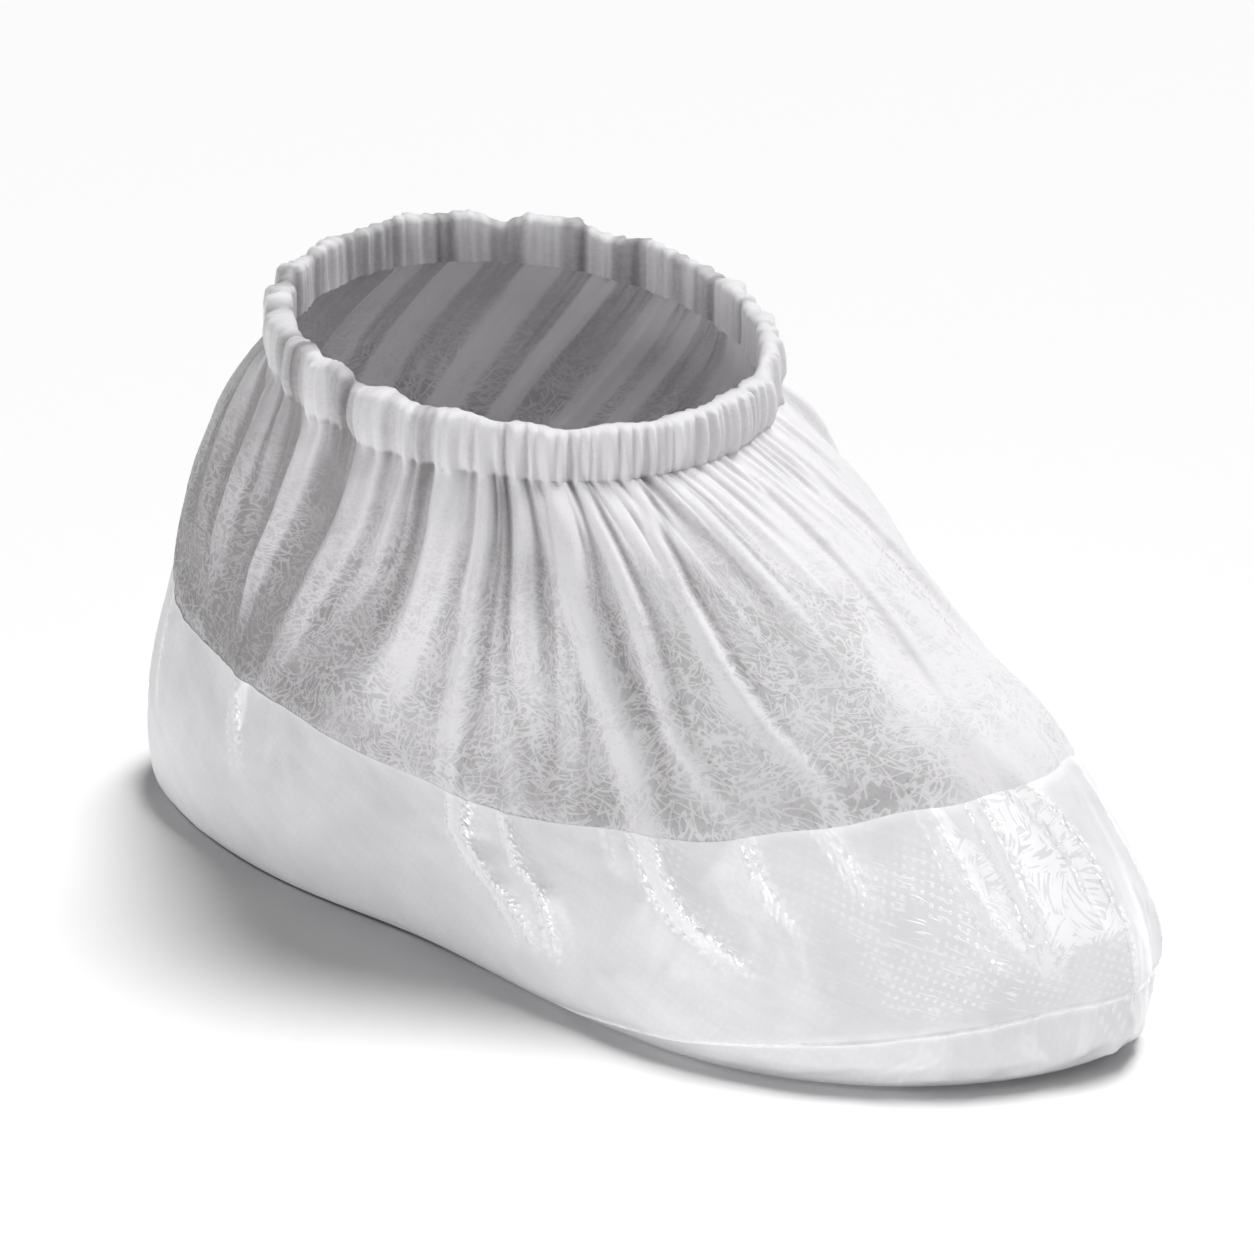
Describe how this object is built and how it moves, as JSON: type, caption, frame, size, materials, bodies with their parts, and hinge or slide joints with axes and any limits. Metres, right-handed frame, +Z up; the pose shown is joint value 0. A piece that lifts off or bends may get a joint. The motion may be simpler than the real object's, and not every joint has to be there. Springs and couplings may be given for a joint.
{
  "type": "shoe cover",
  "caption": "Disposable shoe cover in its worn form: a white nonwoven upper gathered by an elastic ankle hem, joined to a glossy film foot that wraps the sole.",
  "frame": {"origin": "on the floor under the middle of the cover's bounding box", "axes": "+X to the toe, +Y to the inner side of a right foot, +Z up from the floor"},
  "size_m": [0.3174, 0.134, 0.166],
  "materials": {
    "nonwoven": "matte white spunbond, slightly see-through",
    "film": "glossy white film with a fine embossed grain",
    "elastic": "matte white flat elastic"
  },
  "bodies": {
    "root": {"upper": "nonwoven", "film_foot": "film", "ankle_elastic": "elastic"}
  },
  "joints": []
}
